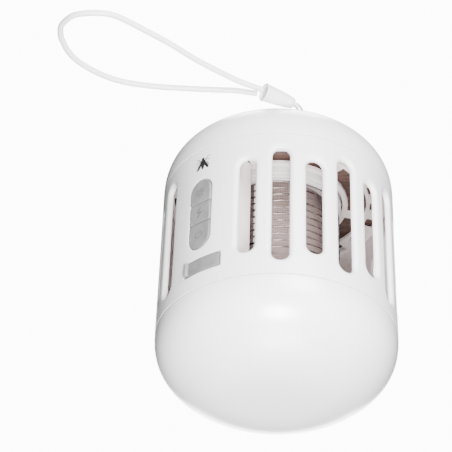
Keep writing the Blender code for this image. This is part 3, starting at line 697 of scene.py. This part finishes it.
def on_panel(u, z, reach):
    """Points u across the panel's middle line, z high and reach from the lamp's axis, on the flat that
    faces outwards there."""
    u, z, reach = np.broadcast_arrays(u, z, reach)
    flat = np.array(SIDE) * u[..., None] + np.array((0, 0, 1)) * z[..., None]
    return np.array(OUT) * reach[..., None] + flat


def key_grid(low, high, round_low, round_high):
    """A key as rings about its middle: its outline is a capsule's part, and each ring is that outline
    drawn in by a share, while the front falls back by a quarter circle at the edge and swells a
    little in the middle."""
    half, count = KEY_HALF, 24
    ends = []
    for rounded, z, first in ((round_high, high, 0.0), (round_low, low, np.pi)):
        a = first + np.linspace(0, np.pi, count)
        middle = z - half if first == 0 else z + half
        if rounded:
            ends.append(np.stack([half * np.cos(a), middle + half * np.sin(a)], 1))
        else:
            side = 1 if first == 0 else -1
            u = np.linspace(half, -half, count) * side
            past = np.maximum(0, np.abs(u) - half + KEY_CORNER)
            corner = KEY_CORNER - np.sqrt(np.maximum(0, KEY_CORNER**2 - past**2))
            ends.append(np.stack([u, z - corner * side], 1))
    outline = np.vstack(ends)
    middle = np.array([0, (low + high) / 2])
    span = np.abs(outline - middle).max(0)
    rows = [on_panel(outline[:, 0], outline[:, 1], KEY_BACK)]
    for a in np.linspace(0, np.pi / 2, 6):
        drawn = middle + (outline - middle) * (1 - KEY_EDGE * (1 - np.cos(a)) / span)
        rows.append(on_panel(drawn[:, 0], drawn[:, 1], KEY_FRONT - KEY_EDGE * (1 - np.sin(a)) - KEY_SWELL))
    for share in np.linspace(0.85, 0, 6):
        drawn = middle + (outline - middle) * (1 - KEY_EDGE / span) * share
        rows.append(on_panel(drawn[:, 0], drawn[:, 1], KEY_FRONT - KEY_SWELL * share**2))
    closing = np.repeat(on_panel(0.0, middle[1], KEY_BACK)[None, None], len(outline), 1)
    return np.concatenate([closing, np.array(rows)]), False, True


def capped(grid):
    """A grid whose first and last columns are each drawn to their middle, which closes its ends."""
    ends = [np.repeat(grid[:, k].mean(0)[None, None], len(grid), 0) for k in (0, -1)]
    return np.concatenate([ends[0], grid, ends[1]], axis=1)


def ribbon(line, width, low, high):
    """A raised strip on the panel along a line of (across, height) points: a rectangle of that width
    between two reaches, carried along it. Its ends are capped, unless the line's own ends meet."""
    line = np.array(line, float)
    way = np.gradient(line, axis=0)
    normal = np.stack([-way[:, 1], way[:, 0]], 1) / np.linalg.norm(way, axis=1, keepdims=True)
    one, two = line + normal * width / 2, line - normal * width / 2
    rows = [(one, low), (one, high), (two, high), (two, low)]
    grid = np.array([on_panel(p[:, 0], p[:, 1], reach) for p, reach in rows])
    if np.linalg.norm(line[0] - line[-1]) > 0.01:
        grid = capped(grid)
    return grid, True, False


def ring_line(radius, z, start, end, count=28):
    """Points of a ring's part on the panel, between two turns in degrees from its top."""
    a = np.radians(np.linspace(start, end, count))
    return np.stack([radius * np.sin(a), z + radius * np.cos(a)], 1)


rubber = Tree("key_silicone")
soft_grey = rubber.blend(rubber.noise(0.004).step(0.3, 0.7), (0.17, 0.17, 0.172), (0.21, 0.21, 0.212))
key_silicone = rubber.surface(
    Base_Color=soft_grey,
    Roughness=rubber.noise(0.002) * 0.15 + 0.36,
    Normal=rubber.bump(rubber.noise(0.0003, 2.0), 0.000006),
    Subsurface_Weight=0.2,
    Subsurface_Radius=(0.001, 0.001, 0.001),
    Subsurface_Scale=1.0,
)
mark_grey = plastic("key_mark", (0.12, 0.12, 0.125), 0.4, grain=0.0003)
bottom, lower, upper, high = (seam_low + v for v in (KEYS_Z[0], *KEY_SPLITS, KEYS_Z[1]))
SPLIT_GAP = 0.15  # half of the gap between two keys
FACE, RAISED = KEY_FRONT - 0.2, KEY_FRONT + 0.1
sun_z, bolt_z, ring_z = upper + 4.4, (lower + upper) / 2, bottom + 6.0
sun = [ribbon(ring_line(1.0, sun_z, 0, 360), 0.32, FACE, RAISED)]
for k in range(8):
    a = math.radians(45 * k)
    ray = [(r * math.sin(a), sun_z + r * math.cos(a)) for r in (1.55, 1.9, 2.3)]
    sun.append(ribbon(ray, 0.3, FACE, RAISED))
bolt = [ribbon([(0.75, bolt_z + 2.1), (-0.2, bolt_z + 0.9), (-0.85, bolt_z + 0.1)], 0.5, FACE, RAISED)]
bolt.append(ribbon([(-0.95, bolt_z + 0.05), (0, bolt_z), (0.95, bolt_z - 0.05)], 0.42, FACE, RAISED))
bolt.append(ribbon([(0.85, bolt_z - 0.1), (0.2, bolt_z - 0.9), (-0.75, bolt_z - 2.1)], 0.5, FACE, RAISED))
power = [ribbon(ring_line(1.5, ring_z, 35, 325), 0.34, FACE, RAISED)]
power.append(ribbon([(0, ring_z + 0.5), (0, ring_z + 1.2), (0, ring_z + 2.0)], 0.34, FACE, RAISED))
for name, low, top_z, ends, lines in (
    ("power_key", bottom, lower - SPLIT_GAP, (True, False), power),
    ("zapper_key", lower + SPLIT_GAP, upper - SPLIT_GAP, (False, False), bolt),
    ("lamp_key", upper + SPLIT_GAP, high, (False, True), sun),
):
    grid_mesh(f"{name}_cap", [key_grid(low, top_z, *ends)], key_silicone, 50, name, [name])
    mark = grid_mesh(f"{name}_mark", lines, mark_grey, 30, name)


# ---------------------------------------------------------------- port cover
# A grey rubber strip closes the charging port. It is held at its right end, bends there, and has a finger
# tab at its left end and a plug on its back that fits the socket.
COVER_R = (43.9, 45.0)
TAB_RISE = 1.1
PLUG_WIDTH, PLUG_HALF, PLUG_REACH = 7.4, 1.25, (42.2, 44.3)


def cover_grid():
    """A rounded section of height and reach, carried round the lamp's axis between the cover's two
    turns. Its outer side stands up by a smooth hump at the tab."""
    share = np.linspace(0, 1, 60) ** 1.4
    turns = COVER_TURNS[0] + (COVER_TURNS[1] - COVER_TURNS[0]) * share
    tab = np.exp(-((turns - COVER_TURNS[0] - 1.5) ** 4)) * TAB_RISE
    edge = np.minimum(1, np.minimum(share, 1 - share) * 40) ** 0.5
    half, z = (COVER_Z[1] - COVER_Z[0]) / 2, seam_low + sum(COVER_Z) / 2
    a = np.linspace(0, 2 * np.pi, 48, endpoint=False)
    round_z = np.sign(np.cos(a)) * np.abs(np.cos(a)) ** 0.16
    round_r = np.sign(np.sin(a)) * np.abs(np.sin(a)) ** 0.35
    height = z + np.outer(round_z, half * (0.94 + 0.06 * edge) * (1 - 0.12 * tab / TAB_RISE))
    low, high = COVER_R[0], COVER_R[1] + tab
    reach = (low + high) / 2 + np.outer(round_r, (high - low) / 2 * (0.75 + 0.25 * edge))
    angle = np.radians(turns)[None]
    return capped(np.stack([reach * np.sin(angle), -reach * np.cos(angle), height], axis=-1)), True, False


def block_grid(width, low, high, near, far, turn, corner=0.3):
    """A block with rounded upright corners, which faces outwards at a turn of the lamp: its front view
    is a rounded rectangle, carried from the near to the far distance."""
    a = np.linspace(0, 2 * np.pi, 32, endpoint=False) + np.pi / 32
    u = np.sign(np.cos(a)) * (width / 2 - corner) + corner * np.cos(a)
    z = (low + high) / 2 + np.sign(np.sin(a)) * ((high - low) / 2 - corner) + corner * np.sin(a)
    out, side = np.array([math.sin(turn), -math.cos(turn), 0]), np.array([math.cos(turn), math.sin(turn), 0])
    reaches = np.array([near, near, far, far])[None, :, None]
    front = side * u[:, None, None] + np.array((0, 0, 1)) * z[:, None, None]
    return capped(front + out * reaches), True, False


flap = Tree("port_rubber")
port_rubber = flap.surface(
    Base_Color=flap.blend(flap.noise(0.005).step(0.3, 0.7), (0.15, 0.15, 0.15), (0.19, 0.19, 0.19)),
    Roughness=flap.noise(0.003) * 0.15 + 0.45,
    Normal=flap.bump(flap.noise(0.00035, 2.0), 0.00001),
)
port_turn, port_z = math.radians(sum(COVER_TURNS) / 2), seam_low + sum(COVER_Z) / 2
plug = block_grid(PLUG_WIDTH, port_z - PLUG_HALF, port_z + PLUG_HALF, *PLUG_REACH, port_turn)
cover_parts = [cover_grid(), plug]
grid_mesh("port_flap", cover_parts, port_rubber, 50, "port_cover", ["port_cover"])


# ---------------------------------------------------------------- chamber
# The grid's former is moulded in warm white: a foot ring, eight ribs and a stepped collar. The floor, the
# bulkhead with its ribs and windows, and the key board's housing are of the same plastic, but their finish is
# painted pinker and brighter: a painted reflection of the violet lamps and the sleeve.
def inner_plastic(name, light, dark, roughness=0.42):
    """Matt moulding whose colour clouds softly between two shades."""
    tree = Tree(name)
    return tree.surface(
        Base_Color=tree.blend(tree.noise(0.012).step(0.3, 0.7), dark, light),
        Roughness=tree.noise(0.006) * 0.12 + (roughness - 0.06),
        Normal=tree.bump(tree.noise(0.0005, 2.0), 0.000008),
    )


GRID_R, WIRE, WIRE_PITCH = 23.4, 0.6, 6.0
FORMER_BORE, FORMER_R = 19.5, 24.4
RIB_WIDTH, RIB_REACH = 1.6, (20.0, 22.8)
former_low, former_high = (v.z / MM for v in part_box("grid_former"))
collar_low = seam_low + 59.2
former_white = inner_plastic("former_white", (0.8, 0.79, 0.785), (0.74, 0.72, 0.715))
low_step = [(22.8, -2.0), (23.6, -1.9), (23.6, -1.2), (23.2, -1.1), (23.2, -0.4)]
high_step = [(24.0, -0.3), (24.0, 0.5), (FORMER_R, 0.8)]
collar = [(FORMER_BORE, collar_low), *((r, collar_low + z) for r, z in low_step + high_step)]
collar += [(FORMER_R, former_high - 0.4), (24.0, former_high)]
collar += [(19.9, former_high), (FORMER_BORE, former_high - 0.4)]
base = [(FORMER_BORE, 0), (FORMER_R, 0), (FORMER_R, 3.6), (24.1, 3.9), (FORMER_BORE, 3.9)]
base = [(r, former_low + z) for r, z in base]
former_parts = [turned(collar, 96), turned(base, 96)]
for k in range(8):
    turn = math.radians(TURN + 45 * (k + 0.5))
    former_parts.append(block_grid(RIB_WIDTH, former_low + 2, collar_low + 2, *RIB_REACH, turn))
grid_mesh("former", former_parts, former_white, 35, "housing", ["grid_former"])


def dress(material, *names):
    """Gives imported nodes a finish."""
    for name in names:
        for slot in nodes[name].material_slots:
            slot.material = material


# Painted reflected light: the chamber's pink and extra brightness stand for light from the lamps and the
# sleeve, over white plastic.
reflection_painted_white = inner_plastic("chamber_painted_reflection", (0.9, 0.83, 0.82), (0.86, 0.76, 0.75))
dress(reflection_painted_white, "top_bulkhead", "chamber_floor", "board_housing")


# ---------------------------------------------------------------- wire grid
# Two bare wires wind round the former as a double helix, 3 mm apart, and carry the high voltage. A
# wire's point at turn a is (r sin a, -r cos a, z), and z rises evenly with a.
wire_tree = Tree("bare_wire")
tarnish = wire_tree.noise(0.003).step(0.35, 0.65)
wire_metal = wire_tree.surface(
    Base_Color=wire_tree.blend(tarnish, (0.16, 0.12, 0.11), (0.34, 0.29, 0.28)),
    Roughness=wire_tree.noise(0.002) * 0.25 + 0.2,
    Metallic=1.0,
)
GRID_Z = (seam_low + 11.5, seam_low + 57.5)
wire_turns = (GRID_Z[1] - GRID_Z[0]) / WIRE_PITCH
for name, phase in (("hv_wire_a", 0.0), ("hv_wire_b", math.pi)):
    share = np.linspace(0, 1, round(wire_turns * 60))
    a = phase + 2 * np.pi * wire_turns * share
    height = GRID_Z[0] + (GRID_Z[1] - GRID_Z[0]) * share
    helix = np.stack([GRID_R * np.sin(a), -GRID_R * np.cos(a), height], 1) * MM
    wire = round_tube(name.replace("hv", "grid"), helix, WIRE * MM, wire_metal, sides=2)
    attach(wire, "housing")
    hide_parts(name)


# ---------------------------------------------------------------- core
# A pinkish sleeve of fine mesh stands inside the grid. It hides the cell, and the two strips with the violet
# lamps that lure the insects. Its dark pinkish brown is painted shade of the unlit chamber with a painted
# reflected tint.
sleeve = Tree("mesh_sleeve")
THREADS_ROUND, THREADS_UP = 60, 3500  # radians of weave for each radian round and each metre up
around, up = sleeve.turn() * THREADS_ROUND, sleeve.axis("Z") * THREADS_UP
weave = ((around + up).sine() * (around - up).sine() * 0.5 + 0.5).step(0.3, 0.8)
# Painted shade: the dark pinkish brown stands for the unlit inside of the chamber and its reflected tint; the
# weave is the mesh's own pattern.
mesh_sleeve = sleeve.surface(
    Base_Color=sleeve.blend(weave * 0.5 + sleeve.noise(0.006) * 0.5, (0.26, 0.19, 0.175), (0.42, 0.33, 0.32)),
    Roughness=0.5,
    Normal=sleeve.bump(weave, 0.00004),
)
low, high = (v.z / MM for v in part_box("light_sleeve"))
SLEEVE_BORE, SLEEVE_R = 16.2, 17.2
tube_outline = [(SLEEVE_BORE, low), (SLEEVE_R, low), (SLEEVE_R, high), (SLEEVE_BORE, high)]
grid_mesh("sleeve", [turned(tube_outline, 96)], mesh_sleeve, 40, "housing", ["light_sleeve"])
dress(plastic("cell_wrap", (0.1, 0.2, 0.45), 0.35), "battery_cell", "hv_capacitor_1", "hv_capacitor_2")


def metal(name, colour, roughness):
    """Plated sheet metal with fine brushing along X and slow stains."""
    tree = Tree(name)
    brush = tree.noise(0.0008, 3.0, stretch=(12, 1, 1))
    return tree.surface(
        Base_Color=tree.blend(tree.noise(0.006), tuple(c * 0.85 for c in colour), colour),
        Roughness=brush * 0.2 + (roughness - 0.1),
        Metallic=1.0,
        Normal=tree.bump(brush, 0.000006),
    )


plated = metal("plated_steel", (0.66, 0.65, 0.63), 0.3)
dress(plated, "battery_contact_low", "battery_contact_high", "usb_socket", "eyelet_bar")
violet = Tree("violet_lamp")
violet_lamp = violet.surface(
    Base_Color=violet.blend(violet.noise(0.002), (0.3, 0.22, 0.62), (0.5, 0.42, 0.8)),
    Roughness=0.2,
    Coat_Weight=0.5,
)
dress(violet_lamp, "uv_led_1", "uv_led_2", "uv_led_3", "uv_led_4")


# ---------------------------------------------------------------- boards, lamps and screws
# The driver board is a dark brown sheet seen through the bulkhead's windows: its brown is painted shade of
# the cap's inside, dressed as phenolic board. The others are glass board under green lacquer, and the lamps
# over the bowl are yellow phosphor in clear resin.
def board(name, base, trace, gloss):
    """Circuit board: lacquer over copper tracks, as stripes of a stretched noise."""
    tree = Tree(name)
    tracks = tree.noise(0.0016, 1.0, stretch=(6, 1, 1)).step(0.5, 0.54)
    return tree.surface(
        Base_Color=tree.blend(tracks, base, trace),
        Roughness=gloss,
        Normal=tree.bump(tracks, 0.00003),
        Coat_Weight=0.3,
    )


# Painted shade: the board's dark brown stands for the shaded inside of the cap behind the windows.
dress(board("shade_brown_board", (0.075, 0.042, 0.034), (0.11, 0.062, 0.048), 0.5), "driver_board")
green = board("green_board", (0.02, 0.13, 0.06), (0.04, 0.2, 0.1), 0.35)
dress(green, "key_board", "lamp_board", "uv_board_1", "uv_board_2")
black = plastic("black_moulding", (0.03, 0.03, 0.03), 0.45, shade=0.2)
dress(black, "step_up_transformer", "charge_controller", "key_switch_1", "key_switch_2", "key_switch_3")
phosphor = Tree("yellow_phosphor")
yellow_phosphor = phosphor.surface(
    Base_Color=phosphor.blend(phosphor.noise(0.0012), (0.8, 0.62, 0.16), (0.88, 0.74, 0.3)),
    Roughness=0.3,
    Coat_Weight=0.6,
)
dress(yellow_phosphor, *(f"white_led_{k + 1}" for k in range(8)))
dress(plated, *(f"{kind}_screw_{k + 1}" for kind in ("floor", "board") for k in range(3)))
seal_rubber = plastic("seal_rubber", (0.35, 0.35, 0.35), 0.55, shade=0.1)
dress(seal_rubber, "cap_seal", "diffuser_seal")
